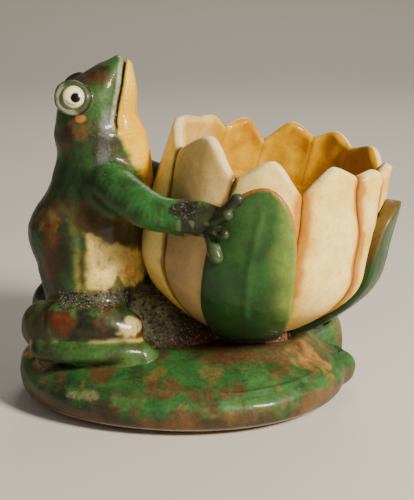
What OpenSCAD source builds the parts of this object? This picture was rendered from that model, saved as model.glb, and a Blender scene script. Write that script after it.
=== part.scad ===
// Glazed pottery planter: a frog stands on a lily pad and hugs an open water-lily bowl.
// Millimetres. +Z is up, +X runs from the frog to the flower, +Y is the frog's left-hand side.
// The origin is the centre of the footprint, on the surface that the pad rests on.

/* [Lily pad] */
// Centre of the pad along X
pad_x = -7.5; // [-9:0.5:-6]
// Half length of the pad along X
pad_half_l = 55.1; // [54:0.1:57]
// Half depth of the pad along Y
pad_half_w = 46.5; // [44:0.5:49]
// Height of the pad's lip
lip_h = 9; // [8:0.5:10]
// Rise of the domed top above the lip
dome_rise = 11; // [10:0.5:12]
// Wall thickness of the pad
pad_wall = 6; // [5:0.5:7]
// Width of the foot ring under the pad
foot_w = 7; // [6:0.5:9]

/* [Flower bowl] */
// Where the bowl stands on the pad, along X
bowl_x = 15.5; // [15:0.5:16.5]
// Height of the seat that the bowl's foot stands on
seat_z = 19; // [18.5:0.5:19.5]
// Height of the round foot under the bowl
foot_h = 2.5; // [2:0.5:3]
// Lean of the bowl's top away from the frog, in degrees
bowl_lean = 15; // [13:0.5:16]
// Length of the petals along the bowl's axis, from base to tip
tip_h = 65; // [63:0.5:66]
// Height of the lining inside the petals
lining_h = 48; // [46:0.5:50]
// Outside radius of the bowl at its base
base_r = 15; // [14:0.5:16]
// Outside radius of the bowl at its widest
belly_r = 38.5; // [38:0.25:39]
// Outside radius at the petal tips
rim_r = 34.5; // [34:0.25:35.5]
// Thickness of the petals
petal_t = 3; // [2.5:0.25:3.5]
// Thickness of the lining
lining_t = 2.5; // [2:0.25:3]
// Length of the sepals along the bowl's axis
sepal_h = 52.8; // [52:0.2:54]
// Thickness of the sepals
sepal_t = 2.6; // [2:0.2:3]
// Half width of a sepal
sepal_half_w = 14; // [13:0.5:15]
// How far a sepal's tip stands off the petals
sepal_flare = 2.4; // [1.5:0.1:3]

/* [Frog] */
// Sideways distance of each eye from the middle of the head
eye_y = 11.5; // [11:0.25:12]
// Radius of the eyeball
eye_r = 4.3; // [4:0.1:4.8]
// Wall thickness of the hollow body
body_wall = 5; // [4:0.5:6]
// Radius of the vent through the pad, under the body's hollow
vent_r = 6; // [5:0.5:7]

/* [Hidden] */

green = [0.13, 0.42, 0.20];
dark_green = [0.10, 0.30, 0.16];
cream = [0.93, 0.87, 0.70];
yellow = [0.90, 0.72, 0.22];

// ---------- curves ----------
// A point on the smooth curve through b and c, with a and d as their neighbours.
function curve_at(a, b, c, d, t) =
  0.5 * (2 * b + (c - a) * t + (2 * a - 5 * b + 4 * c - d) * t * t + (3 * b - a - 3 * c + d) * t * t * t);
// A smooth list of points through pts, with the given number of steps between each two.
function smooth(pts, steps) = concat(
  [for (i = [0:len(pts) - 2], s = [0:steps - 1])
    curve_at(pts[max(i - 1, 0)], pts[i], pts[i + 1], pts[min(i + 2, len(pts) - 1)], s / steps)],
  [pts[len(pts) - 1]]);
// The same list seen in the frog's mirror plane.
function mirrored(pts) = [for (p = pts) [p[0], -p[1], p[2], p[3], p[4], p[5]]];

// ---------- lily pad ----------
pad_sides = 72;
// Angle and half angle of the slit, and how deep it cuts
slit_a = 13;
slit_half_a = 7;
slit_depth = 9;
// The pointed lobe beside the slit
lobe_a = 2;
lobe_half_a = 10;
lobe_reach = 4;
// The broad raised lobe behind the slit
back_lobe_a = 27;
back_lobe_half_a = 16;
back_lobe_power = 0.6;
back_lobe_reach = 8;
back_lobe_rise = 8;
// The rolled-up edge at the frog's back
curl_a = 180;
curl_half_a = 22;
curl_rise = 3.5;
vent_x = -38;
// Slight three-fold waviness of the outline
edge_wave = 0.012;
// 1 at angle c, falling smoothly to 0 at half angle w from it
function bump(a, c, w) = let (d = abs((a - c + 540) % 360 - 180)) d < w ? (1 + cos(180 * d / w)) / 2 : 0;
function back_lobe(a) = pow(bump(a, back_lobe_a, back_lobe_half_a), back_lobe_power);
function oval_r(a) = 1 / sqrt(pow(cos(a) / pad_half_l, 2) + pow(sin(a) / pad_half_w, 2));
function pad_r(a) = oval_r(a) * (1 - edge_wave * cos(3 * a))
  + lobe_reach * bump(a, lobe_a, lobe_half_a) - slit_depth * bump(a, slit_a, slit_half_a)
  + back_lobe_reach * back_lobe(a);
// How much higher than the rest of the lip the edge is
function edge_rise(a) = curl_rise * bump(a, curl_a, curl_half_a) + back_lobe_rise * back_lobe(a);
function oval_q(x, y) = pow((x - pad_x) / pad_half_l, 2) + pow(y / pad_half_w, 2);
// Height of the pad's top, with a flat round seat for the bowl
seat_r = 17;
seat_blend = 8;
dome_power = 0.75;
function dome_z(x, y) = lip_h - 0.5 + dome_rise * pow(max(0, 1 - oval_q(x, y)), dome_power);
function seat_mix(x, y) = let (d = norm([x - bowl_x, y]) - seat_r)
  d < 0 ? 1 : d > seat_blend ? 0 : 1 - d / seat_blend;
function top_z(x, y) = let (m = seat_mix(x, y)) m * seat_z + (1 - m) * dome_z(x, y);
// A ring of points: the outline moved in by inset, at height z, with a share of the edge's rise
function edge_ring(inset, z, share) = [for (k = [0:pad_sides - 1])
  let (a = 360 * k / pad_sides, r = pad_r(a) - inset)
  [pad_x + r * cos(a), r * sin(a), z + share * edge_rise(a)]];
// Width of the lip round the pad's top
lip_w = 5;
// A point between the outline, r from the pad's centre, at f = 1 and the vent at f = 0
function toward_vent(f, a, r) =
  [f * (pad_x + r * cos(a)) + (1 - f) * (vent_x + vent_r * cos(a)), f * r * sin(a) + (1 - f) * vent_r * sin(a)];
// The top starts to follow the edge's rise from here out
rise_from = 0.55;
function rise_share(f) = 0.8 * pow(max(0, f - rise_from) / (1 - rise_from), 1.5);
function top_ring(f) = [for (k = [0:pad_sides - 1])
  let (a = 360 * k / pad_sides, p = toward_vent(f, a, pad_r(a) - lip_w))
  [p[0], p[1], top_z(p[0], p[1]) + rise_share(f) * edge_rise(a)]];
function under_ring(f) = [for (k = [0:pad_sides - 1])
  let (a = 360 * k / pad_sides, p = toward_vent(f, a, oval_r(a) - slit_depth - foot_w))
  [p[0], p[1], top_z(p[0], p[1]) - pad_wall]];
pad_rings = concat(
  [edge_ring(2.6, 0, 0), edge_ring(0.8, 2.2, 0), edge_ring(0, 5.5, 0), edge_ring(0.7, lip_h - 0.8, 1),
   edge_ring(2.2, lip_h, 1)],
  [for (f = [1, 0.85, 0.7, 0.55, 0.4, 0.2, 0]) top_ring(f)],
  [for (f = [0, 0.25, 0.5, 0.75, 1]) under_ring(f)],
  [edge_ring(foot_w, 0, 0)]);
// A closed solid from rings of points, each joined to the next and the last to the first
module ring_solid(rings) {
  n = len(rings[0]);
  m = len(rings);
  points = [for (r = rings, p = r) p];
  faces = [for (j = [0:m - 1], k = [0:n - 1])
    let (a = j * n, b = ((j + 1) % m) * n, l = (k + 1) % n) each
    [[a + k, b + k, b + l], [a + k, b + l, a + l]]];
  polyhedron(points = points, faces = faces, convexity = 6);
}
module lily_pad() {
  color(green) ring_solid(pad_rings);
}
// Everything at or below the pad's top, used to seat the frog on it
module pad_below() {
  top = [for (f = [1, 0.85, 0.7, 0.55, 0.4, 0.25, 0.12]) top_ring(f)];
  n = pad_sides;
  m = len(top);
  floor_ring = [for (p = top[0]) [p[0], p[1], -5]];
  points = concat([for (r = concat([floor_ring], top), p = r) p], [[vent_x, 0, top_z(vent_x, 0)]]);
  sides = [for (j = [0:m - 1], k = [0:n - 1])
    let (a = j * n, b = (j + 1) * n, l = (k + 1) % n) each
    [[a + k, b + k, b + l], [a + k, b + l, a + l]]];
  cap = [for (k = [0:n - 1]) [m * n + k, (m + 1) * n, m * n + (k + 1) % n]];
  polyhedron(points = points, faces = concat(sides, cap, [[for (k = [0:n - 1]) k]]), convexity = 6);
}

// ---------- flower bowl ----------
// The bowl's axis rises straight from its foot and bends over to the full lean at this height
bend_h = 50;
// The rings across the axis tip a little less than the axis leans
ring_tip = 0.85;
belly_h = 27;
function lean(h) = bowl_lean * min(1, max(0, h) / bend_h);
function axis_at(h) = let (r = bend_h * 180 / (bowl_lean * PI), past = max(0, h - bend_h)) [
  bowl_x + r * (1 - cos(lean(h))) + past * sin(bowl_lean), 0,
  seat_z + foot_h + r * sin(lean(h)) + past * cos(bowl_lean) + min(0, h)];
// Outside radius of the petals at height h
function wall_r(h) = h < belly_h
  ? base_r + (belly_r - base_r) * pow(1 - pow(1 - max(0, h) / belly_h, 2), 0.9)
  : belly_r - (belly_r - rim_r) * pow((h - belly_h) / (tip_h - belly_h), 1.3);
// A point at angle a round the bowl, height h and distance r from its axis
function bowl_point(a, h, r) = let (tip = ring_tip * lean(h))
  axis_at(h) + [r * cos(a) * cos(tip), r * sin(a), -r * cos(a) * sin(tip)];
// A point d outside the petals' outer skin, square to it, level with height h on it
step = 0.1;
function skin_point(a, h, d) =
  let (slope = (wall_r(h + step) - wall_r(max(0, h - step))) / (h < step ? step + h : 2 * step), m = norm([1, slope]))
  bowl_point(a, h - d * slope / m, wall_r(h) + d / m);
function backwards(pts) = [for (i = [len(pts) - 1:-1:0]) pts[i]];
ring_sides = 66;
function skin_ring(h, d) = [for (k = [0:ring_sides - 1]) skin_point(360 * k / ring_sides, h, d)];
function bowl_ring(h, r) = [for (k = [0:ring_sides - 1]) bowl_point(360 * k / ring_sides, h, r)];
// A closed solid from rings of points, with a flat end on the first ring and on the last
module capped_solid(rings) {
  n = len(rings[0]);
  m = len(rings);
  points = [for (r = rings, p = r) p];
  sides = [for (j = [0:m - 2], k = [0:n - 1])
    let (a = j * n, b = (j + 1) * n, l = (k + 1) % n) each
    [[a + k, b + k, b + l], [a + k, b + l, a + l]]];
  first = [for (k = [0:n - 1]) k];
  last = [for (k = [n - 1:-1:0]) (m - 1) * n + k];
  polyhedron(points = points, faces = concat(sides, [first, last]), convexity = 8);
}
floor_h = 5.5;
module bowl_lining() {
  color(yellow) capped_solid(concat(
    [bowl_ring(0, base_r - 2.5)],
    [for (h = [1.5, 4, 8, 14, 21, 28, 38, lining_h]) skin_ring(h, -petal_t)],
    [for (h = [lining_h, 38, 28, 21, 14, 8, 5]) skin_ring(h, -petal_t - lining_t)],
    [bowl_ring(floor_h, 9)]));
}
// The bowl's full outside, without the sepals
module bowl_outside() {
  capped_solid(concat([bowl_ring(0, base_r)],
    [for (h = [1.5, 4, 8, 14, 21, 28, 38, 48, 58, tip_h + 2]) skin_ring(h, 0)]));
}
// The clay that fills the corner between the frog, the bowl and the pad
fill_pts = [[-23, 0, 24, 8, 18, 15], [-14, 0, 21, 9, 18, 14], [-4, 0, 17, 9, 16, 9]];
module bowl_foot() {
  color(dark_green) {
    translate([bowl_x, 0, seat_z]) cylinder(r1 = base_r + 1.5, r2 = base_r, h = foot_h, $fn = 64);
    difference() {
      flesh(fill_pts, 2, $fn = 24);
      bowl_outside();
      body_skin();
      pad_below();
      sepal(0);
      sepal(2);
      for (pts = [thigh_pts, mirrored(thigh_pts), foot_pts, mirrored(foot_pts)]) flesh(pts, 3, $fn = 16);
    }
  }
}
// A curved plate from two grids of points, outer and inner, each a list of rows of equal length
module plate(outer, inner) {
  rows = len(outer);
  cols = len(outer[0]);
  half = rows * cols;
  points = concat([for (r = outer, p = r) p], [for (r = inner, p = r) p]);
  skins = [for (j = [0:rows - 2], k = [0:cols - 2])
    let (a = j * cols + k, b = a + 1, c = a + cols, d = c + 1) each
    [[a, b, d], [a, d, c], [a + half, d + half, b + half], [a + half, c + half, d + half]]];
  loop = concat([for (k = [0:cols - 2]) k], [for (j = [0:rows - 2]) j * cols + cols - 1],
    [for (k = [cols - 1:-1:1]) (rows - 1) * cols + k], [for (j = [rows - 1:-1:1]) j * cols]);
  edges = [for (i = [0:len(loop) - 1])
    let (a = loop[i], b = loop[(i + 1) % len(loop)]) each
    [[a, b + half, b], [a, a + half, b + half]]];
  polyhedron(points = points, faces = concat(skins, edges), convexity = 6);
}
// For each petal: where it starts, in degrees from +X towards the frog's left, how far its tip is over tip_h, and
// the height of the notch where it starts. It ends where the next one starts.
petals = [[205, -2.1, 55.5], [146.3, -2, 62.1], [123.5, -1.5, 59.5], [96.4, 0.8, 57.3], [67.6, 1.2, 62.3],
  [41.3, 0.6, 62.5], [8, -1, 60], [-27, -1.8, 61], [-50.1, -2.2, 60.8], [-80.9, -4.1, 52.8], [-114.5, -2.4, 53.1]];
full_turn = 360;
petal_cols = 6;
petal_low = [0.8, 3, 7, 13, 21, 30, 40];
// Heights of the rows at place u across a petal, from -1 at its end to 1 at its start: level below, and above
// arching from the notch on that side to the tip
function petal_heights(u, notch, top) = let (peak = notch + (top - notch) * (1 - pow(abs(u), 1.5)))
  concat(petal_low, [lining_h, (lining_h + peak) / 2, peak]);
// The inner skin is at the lining below its top edge and flush with the lining's inside above it
module petal(i) {
  start = petals[i];
  next = petals[(i + 1) % len(petals)];
  end_a = next[0] - (next[0] > start[0] ? full_turn : 0);
  grid = [for (k = [0:petal_cols])
    let (u = 2 * k / petal_cols - 1, a = end_a + (start[0] - end_a) * (u + 1) / 2, notch = u < 0 ? next[2] : start[2])
    [for (h = petal_heights(u, notch, tip_h + start[1])) [a, h]]];
  color(cream) plate([for (r = grid) [for (p = r) skin_point(p[0], p[1], 0)]],
    [for (r = grid) [for (p = r) skin_point(p[0], p[1], -petal_t)]]);
}
// Direction of the front, right and back sepal, and how much more than sepal_flare its tip stands off
sepals = [[-97, -0.8], [-14, 1.5], [80, 0]];
sepal_cols = 8;
sepal_rows = 9;
sepal_low = 0.8;
// Half width of a sepal at share t of its length
function sepal_half(t) = sepal_half_w * pow(sin(min(90, 30 + 170 * t)), 0.8) * pow(1 - pow(t, 4), 0.6) + 0.3;
module sepal(i) {
  dir = sepals[i][0];
  function gap(h) = (sepal_flare + sepals[i][1]) * pow(h / sepal_h, 2);
  grid = [for (j = [0:sepal_rows]) let (t = j / sepal_rows, h = sepal_low + (sepal_h - sepal_low) * t)
    [for (k = [0:sepal_cols]) let (u = 2 * k / sepal_cols - 1)
      [dir + atan(sepal_half(t) * u / (wall_r(h))), h]]];
  color(green) plate([for (r = grid) [for (p = r) skin_point(p[0], p[1], gap(p[1]))]],
    [for (r = grid) [for (p = r) skin_point(p[0], p[1], gap(p[1]) + sepal_t)]]);
}

// ---------- frog ----------
// A rounded form through a list of [x, y, z, rx, ry, rz], one egg shape at each
module blob(b) {
  translate([b[0], b[1], b[2]]) scale([b[3], b[4], b[5]]) sphere(r = 1);
}
module flesh(pts, steps) {
  s = smooth(pts, steps);
  for (i = [0:len(s) - 2]) hull() {
    blob(s[i]);
    blob(s[i + 1]);
  }
}
body_pts = [[-36, 0, 20, 17, 18, 9], [-37, 0, 32, 17.3, 19, 13], [-38.5, 0, 45, 18.4, 19.5, 14],
  [-39.6, 0, 54, 19.6, 18, 13], [-36.4, 0, 63, 17, 16.5, 13], [-34.6, 0, 74, 15.2, 14.5, 11],
  [-35.2, 0, 83, 13.8, 13.2, 9]];
// The last of the body's forms that the hollow follows
hollow_last = 4;
// The hollow's forms with the wall still on. The first lies below the pad's top, so the hollow is open downwards.
hollow_pts = concat([[-37, 0, 8, 17.5, 17.5, 5]], [for (i = [0:hollow_last]) body_pts[i]]);
head_pts = [[-36.6, 0, 87, 12, 13, 8], [-37.2, 0, 93, 11.4, 12.6, 8], [-35.8, 0, 98.5, 9.6, 11.4, 7],
  [-32, 0, 103.5, 6.2, 8.2, 5.5], [-28.4, 0, 108, 2.6, 4.6, 3.2]];
jaw_pts = [[-25.4, 0, 107.5, 1.6, 4.2, 2], [-26, 0, 100, 3.4, 7.5, 4], [-27, 0, 92, 4.6, 9.5, 4],
  [-27.5, 0, 84, 8, 11, 5], [-26, 0, 74, 8, 10.5, 6], [-26, 0, 67, 7.8, 9.5, 5]];
arm_pts = [[-34, -11, 72, 6.5, 6, 6.5], [-27, -18.5, 70, 6.4, 6, 6.6], [-17, -25.5, 65.2, 5.6, 5.4, 5.9],
  [-8, -30, 64.5, 4.4, 4.2, 5.4]];
palm_pts = [[-7.5, -30.2, 64.4, 4.2, 4, 5.4], [-2, -33, 64.4, 4.2, 3.2, 5.6], [2.5, -34.8, 64, 3.2, 2.6, 5]];
finger_tips = [[9, -38.5, 71.5], [6, -39.6, 67], [5, -40, 61.5], [3, -39.3, 54]];
thigh_pts = [[-54, -13, 24.5, 6.5, 7, 8], [-46, -17, 26.5, 8, 8, 8], [-36, -18.5, 26.5, 8.5, 8, 7.8],
  [-27, -17, 24.8, 6.5, 7, 6.5]];
foot_pts = [[-52, -20, 18.5, 5, 5, 3.6], [-42, -23, 19, 6.5, 5.5, 3.9], [-31, -23.5, 18.8, 6.5, 5.5, 3.9],
  [-22, -21, 18, 4.5, 5, 3.4]];

module body_skin() {
  flesh(body_pts, 2, $fn = 24);
}
module frog_body() {
  color(green) difference() {
    body_skin();
    bowl_outside();
    pad_below();
    flesh(jaw_pts, 2, $fn = 16);
    // the hollow, open downwards over the pad's vent
    flesh([for (p = hollow_pts) [p[0], 0, p[2], p[3] - body_wall, p[4] - body_wall, p[5]]], 2, $fn = 16);
  }
}
module frog_head() {
  color(green) difference() {
    flesh(head_pts, 2, $fn = 24);
    body_skin();
    flesh(jaw_pts, 2, $fn = 16);
    for (s = [-1, 1]) eye_place(s) sphere(r = eye_r, $fn = 24);
  }
}
module frog_lower_jaw() {
  color(yellow) difference() {
    flesh(jaw_pts, 2, $fn = 16);
    bowl_outside();
  }
}
eye_x = -42.3;
eye_z = 98.6;
// Side s = -1 is the frog's right, s = 1 its left; +Z of this frame looks out of the eye
module eye_place(s) {
  translate([eye_x, s * eye_y, eye_z]) rotate([-s * 72, 12, 0]) children();
}
module eyeball(s) {
  color(cream) eye_place(s) sphere(r = eye_r, $fn = 32);
}
lid_tube_r = 1.6;
module eyelid(s) {
  color(green) eye_place(s) rotate_extrude($fn = 48) translate([eye_r + 0.2, 0]) difference() {
    circle(r = lid_tube_r, $fn = 20);
    translate([-eye_r - 0.2, 0]) circle(r = eye_r, $fn = 48);
  }
}
module arm(side) {
  pts = side < 0 ? arm_pts : mirrored(arm_pts);
  color(green) difference() {
    flesh(pts, 3, $fn = 18);
    body_skin();
    bowl_outside();
    flesh(jaw_pts, 2, $fn = 16);
  }
}
finger_r = 2;
module hand(side) {
  mirror([0, side > 0 ? 1 : 0, 0]) color(dark_green) difference() {
    union() {
      flesh(palm_pts, 2, $fn = 14);
      for (tip = finger_tips) flesh([[0, -34, 62.5, 2.2, 2, 2.2],
        [0.5 * tip[0], -37, 0.5 * (tip[2] + 62.5), finger_r, finger_r, finger_r],
        [tip[0], tip[1], tip[2], finger_r, finger_r, finger_r]], 1, $fn = 12);
    }
    flesh(arm_pts, 3, $fn = 18);
    bowl_outside();
    sepal(0);
  }
}
module thigh(side) {
  pts = side < 0 ? thigh_pts : mirrored(thigh_pts);
  color(green) difference() {
    flesh(pts, 3, $fn = 16);
    body_skin();
    bowl_outside();
    pad_below();
  }
}
module foot(side) {
  mirror([0, side > 0 ? 1 : 0, 0]) color(green) difference() {
    flesh(foot_pts, 3, $fn = 16);
    flesh(thigh_pts, 3, $fn = 16);
    body_skin();
    bowl_outside();
    pad_below();
  }
}

lily_pad();
bowl_foot();
bowl_lining();
petal(0);  // petal_01
petal(1);  // petal_02
petal(2);  // petal_03
petal(3);  // petal_04
petal(4);  // petal_05
petal(5);  // petal_06
petal(6);  // petal_07
petal(7);  // petal_08
petal(8);  // petal_09
petal(9);  // petal_10
petal(10);  // petal_11
sepal(0);  // sepal_front
sepal(1);  // sepal_right
sepal(2);  // sepal_back
frog_body();
frog_head();
frog_lower_jaw();
eyeball(-1);  // right_eyeball
eyeball(1);  // left_eyeball
eyelid(-1);  // right_eyelid
eyelid(1);  // left_eyelid
arm(-1);  // right_arm
arm(1);  // left_arm
hand(-1);  // right_hand
hand(1);  // left_hand
thigh(-1);  // right_thigh
thigh(1);  // left_thigh
foot(-1);  // right_foot
foot(1);  // left_foot
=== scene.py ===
"""A glazed pottery planter: a frog stands on a lily pad and hugs an open water-lily bowl.

Shapes are worked out in millimetres, in the frame's own axes, and become metres when a piece is made: +X runs from
the frog to the flower, +Y is the frog's left and +Z is up. Each piece is a closed mesh. Its broad colours are painted
on its points, and its material adds the mottling, the crazing, the specks and the gloss of the glaze.
"""

import math

import bpy
import numpy as np
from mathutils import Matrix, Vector


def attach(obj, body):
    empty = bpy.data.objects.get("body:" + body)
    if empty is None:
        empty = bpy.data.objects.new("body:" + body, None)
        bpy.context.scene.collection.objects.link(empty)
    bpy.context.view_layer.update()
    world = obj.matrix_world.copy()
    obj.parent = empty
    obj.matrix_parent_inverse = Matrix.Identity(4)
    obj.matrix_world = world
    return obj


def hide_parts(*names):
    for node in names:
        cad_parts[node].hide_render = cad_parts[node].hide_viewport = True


MM = 0.001


# ---------- small tools ----------
def srgb(r, g, b):
    """A colour seen on screen, 0 to 255, as the linear colour that a shader takes."""
    c = np.array([r, g, b]) / 255
    return np.where(c < 0.04045, c / 12.92, ((c + 0.055) / 1.055) ** 2.4)


def smoothstep(a, b, x):
    """0 where x is at a or before, 1 at b or past it, and smooth between."""
    t = np.clip((x - a) / (b - a), 0, 1)
    return t * t * (3 - 2 * t)


def band(x, low, high, soft):
    """1 between low and high, falling to 0 over soft on each side."""
    return smoothstep(low - soft, low + soft, x) * (1 - smoothstep(high - soft, high + soft, x))


def mix(a, b, share):
    """Colour a where share is 0, b where it is 1."""
    return a + (b - a) * np.clip(share, 0, 1)[:, None]


def hashed(i, j, k, seed):
    """A fixed random number from 0 to 1 for each grid corner."""
    h = (i * 374761393 + j * 668265263 + k * 974634777 + seed * 1274126177) & 0xFFFFFFFF
    h = ((h ^ (h >> 13)) * 1274126177) & 0xFFFFFFFF
    return ((h ^ (h >> 16)) & 0xFFFF) / 65535


def noise(p, size, seed=0):
    """Smooth noise from -1 to 1 at the points p, in lumps about size mm across."""
    q = p / size
    cell = np.floor(q).astype(np.int64)
    f = q - cell
    f = f * f * (3 - 2 * f)
    total = np.zeros(len(p))
    for dx in (0, 1):
        for dy in (0, 1):
            for dz in (0, 1):
                weight = ((f[:, 0] if dx else 1 - f[:, 0]) * (f[:, 1] if dy else 1 - f[:, 1])
                          * (f[:, 2] if dz else 1 - f[:, 2]))
                total += weight * hashed(cell[:, 0] + dx, cell[:, 1] + dy, cell[:, 2] + dz, seed)
    return 2 * total - 1


def ragged(p, seed):
    """Noise from -1 to 1 in broad lumps with finer ones on them, as one glaze breaks through another."""
    return np.clip(1.0 * noise(p, 8, seed) + 0.55 * noise(p, 3.6, seed + 1) + 0.3 * noise(p, 1.5, seed + 2), -1, 1)


def spot(p, centre, radii, seed=0):
    """1 inside a ragged spot of glaze, falling to 0 outside it."""
    d = np.linalg.norm((p - np.array(centre)) / np.array(radii), axis=1)
    return 1 - smoothstep(0.65, 1.1, d + 0.3 * noise(p, 2.6, seed) + 0.25 * noise(p, 1.1, seed + 1))
def smooth_curve(points, steps):
    """Points along the smooth curve through the given ones (Catmull-Rom), each a row of numbers."""
    points = np.array(points, float)
    last = len(points) - 1
    out = []
    for i in range(last):
        a, b, c, d = points[max(i - 1, 0)], points[i], points[i + 1], points[min(i + 2, last)]
        for t in np.arange(steps) / steps:
            out.append(0.5 * (2 * b + (c - a) * t + (2 * a - 5 * b + 4 * c - d) * t ** 2
                              + (3 * b - a - 3 * c + d) * t ** 3))
    return np.array(out + [points[last]])


# ---------- making a piece ----------
def piece(name, points, faces, colour, node, material, grain=0.0):
    """Makes a smooth closed mesh from points in mm and quads. Each point has a painted colour and a graininess."""
    mesh = bpy.data.meshes.new(name)
    mesh.from_pydata((points * MM).tolist(), [], [face for face in np.asarray(faces).tolist()])
    mesh.validate()
    mesh.polygons.foreach_set("use_smooth", [True] * len(mesh.polygons))
    glaze_paint = mesh.attributes.new("glaze", "FLOAT_COLOR", "POINT")
    grain = np.broadcast_to(np.asarray(grain, float), len(points))[:, None]
    glaze_paint.data.foreach_set("color", np.hstack([colour, grain]).ravel())
    mesh.materials.append(material)
    mesh.update()
    obj = bpy.data.objects.new(name, mesh)
    bpy.context.scene.collection.objects.link(obj)
    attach(obj, "root")
    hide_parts(node)
    return obj

def grid_faces(rows, cols, closed_rows, closed_cols):
    """Quads joining a grid of points, which may join up with itself in either direction."""
    j = np.arange(rows if closed_rows else rows - 1)
    k = np.arange(cols if closed_cols else cols - 1)
    j, k = [a.ravel() for a in np.meshgrid(j, k, indexing="ij")]
    j2, k2 = (j + 1) % rows, (k + 1) % cols
    return np.stack([j * cols + k, j * cols + k2, j2 * cols + k2, j2 * cols + k], axis=1)


# ---------- lily pad ----------
PAD_X, PAD_HALF_L, PAD_HALF_W = -7.5, 55.1, 46.5
LIP_H, DOME_RISE, DOME_POWER, PAD_WALL, FOOT_W, LIP_W = 9.0, 11.0, 0.75, 6.0, 7.0, 5.0
SLIT_A, SLIT_HALF_A, SLIT_DEPTH = 13, 7, 9.0
LOBE_A, LOBE_HALF_A, LOBE_REACH = 2, 10, 4.0
BACK_LOBE_A, BACK_LOBE_HALF_A, BACK_LOBE_POWER, BACK_LOBE_REACH, BACK_LOBE_RISE = 27, 16, 0.6, 8.0, 8.0
CURL_A, CURL_HALF_A, CURL_RISE = 180, 22, 3.5
# the top starts to follow the edge's rise from this share of the way out
RISE_FROM = 0.55
VENT_X, VENT_R = -38.0, 6.0
EDGE_WAVE = 0.012
BOWL_X, SEAT_Z, SEAT_R, SEAT_BLEND = 15.5, 19.0, 17.0, 8.0


def bump(a, centre, half):
    """1 at angle centre, falling smoothly to 0 at half degrees from it."""
    d = np.abs((a - centre + 540) % 360 - 180)
    return np.where(d < half, (1 + np.cos(np.pi * d / half)) / 2, 0)


def back_lobe(a):
    return bump(a, BACK_LOBE_A, BACK_LOBE_HALF_A) ** BACK_LOBE_POWER


def oval_r(a):
    return 1 / np.sqrt((np.cos(np.radians(a)) / PAD_HALF_L) ** 2 + (np.sin(np.radians(a)) / PAD_HALF_W) ** 2)


def pad_r(a):
    """The pad's outline: distance from its centre at angle a."""
    return (oval_r(a) * (1 - EDGE_WAVE * np.cos(np.radians(3 * a))) + LOBE_REACH * bump(a, LOBE_A, LOBE_HALF_A)
            - SLIT_DEPTH * bump(a, SLIT_A, SLIT_HALF_A) + BACK_LOBE_REACH * back_lobe(a))


def edge_rise(a):
    """How much higher than the rest of the lip the edge is at angle a."""
    return CURL_RISE * bump(a, CURL_A, CURL_HALF_A) + BACK_LOBE_RISE * back_lobe(a)


def rise_share(share):
    """How much of the edge's rise the top follows at this share of the way out."""
    return 0.8 * (np.maximum(0, share - RISE_FROM) / (1 - RISE_FROM)) ** 1.5


def pad_top(x, y):
    """Height of the pad's domed top, with its flat seat for the bowl."""
    q = ((x - PAD_X) / PAD_HALF_L) ** 2 + (y / PAD_HALF_W) ** 2
    dome = LIP_H - 0.5 + DOME_RISE * np.maximum(0, 1 - q) ** DOME_POWER
    seat = 1 - smoothstep(SEAT_R, SEAT_R + SEAT_BLEND, np.hypot(x - BOWL_X, y))
    return seat * SEAT_Z + (1 - seat) * dome


def pad_ring(a, share, r):
    """Points between the outline, r from the pad's centre, at share 1 and the vent at share 0."""
    c, s = np.cos(np.radians(a)), np.sin(np.radians(a))
    x = share * (PAD_X + r * c) + (1 - share) * (VENT_X + VENT_R * c)
    return x, share * r * s + (1 - share) * VENT_R * s


def pad_points(sides):
    """Rings from the foot up round the lip, over the top to the vent, and back under the pad."""
    a = np.arange(sides) * 360 / sides
    c, s = np.cos(np.radians(a)), np.sin(np.radians(a))
    # inset from the outline, height, and share of the edge's rise, round the lip's outside
    lip = smooth_curve([[2.6, 0, 0], [0.9, 1.8, 0], [0, 5.2, 0.3], [0.5, 7.7, 0.85], [1.9, 9.3, 0.97],
                        [3.4, 10.3, 0.9], [LIP_W, 11.7, 0.8]], 6)
    rings = []
    for inset, z, share in lip[:-1]:
        r = pad_r(a) - inset
        rings.append(np.stack([PAD_X + r * c, r * s, z + share * edge_rise(a)], 1))
    for share in np.linspace(1, 0, 56):
        x, y = pad_ring(a, share, pad_r(a) - LIP_W)
        rings.append(np.stack([x, y, pad_top(x, y) + rise_share(share) * edge_rise(a)], 1))
    top_rings = len(rings)
    for share in np.linspace(0, 1, 14):
        x, y = pad_ring(a, share, oval_r(a) - SLIT_DEPTH - FOOT_W)
        rings.append(np.stack([x, y, pad_top(x, y) - PAD_WALL], 1))
    r = pad_r(a) - FOOT_W
    rings.append(np.stack([PAD_X + r * c, r * s, np.zeros(sides)], 1))
    p = np.array(rings)
    # soft unevenness, as left by hand, kept off the foot
    flat = p[:top_rings].reshape(-1, 3)
    lift = (0.4 * noise(flat, 11, 1) + 0.22 * noise(flat, 4.5, 2)) * smoothstep(2, 7, flat[:, 2])
    flat[:, 2] += lift
    p[:top_rings] = flat.reshape(p[:top_rings].shape)
    return p


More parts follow.
